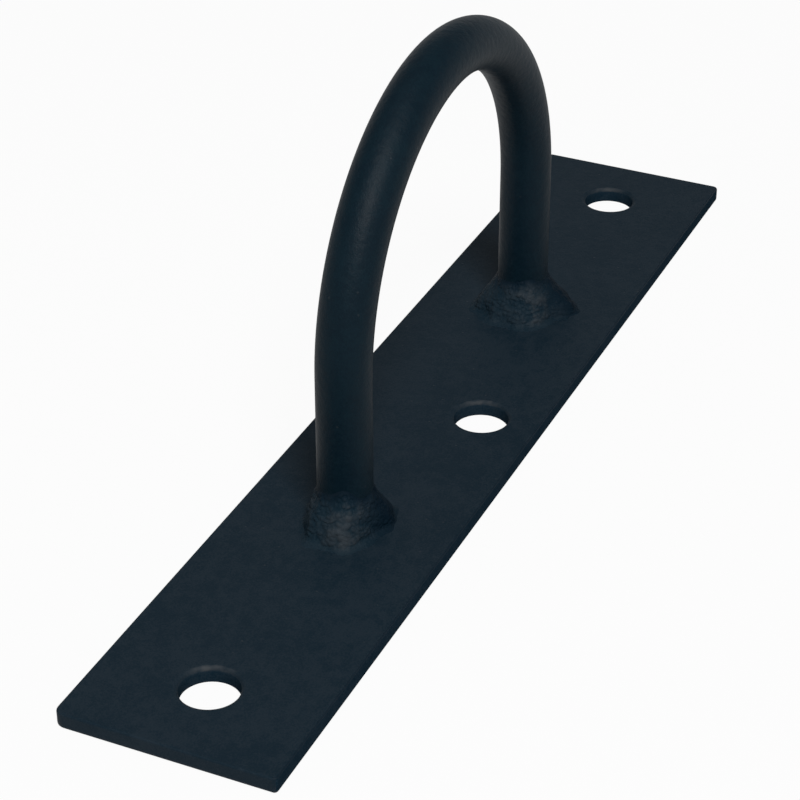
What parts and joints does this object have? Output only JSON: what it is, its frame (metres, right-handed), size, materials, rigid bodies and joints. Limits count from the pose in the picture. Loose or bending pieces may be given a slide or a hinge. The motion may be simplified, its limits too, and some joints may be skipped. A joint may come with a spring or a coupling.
{
  "type": "suspension trainer anchor",
  "caption": "Flat steel mounting plate with bolt holes and a welded round-bar loop, black coated, for hanging a suspension trainer from a wall or ceiling.",
  "frame": {"origin": "centre of the plate's flat back face", "axes": "+X along the plate, +Y across it and away from the middle hole, +Z out of the wall through the top of the loop"},
  "size_m": [0.276, 0.0508, 0.1014],
  "materials": {
    "black_coat": "satin blue-black powder coat over steel, with a fine orange-peel grain"
  },
  "bodies": {
    "root": {"mounting_plate": "black_coat", "loop_bar": "black_coat", "weld_beads": "black_coat"}
  },
  "joints": []
}
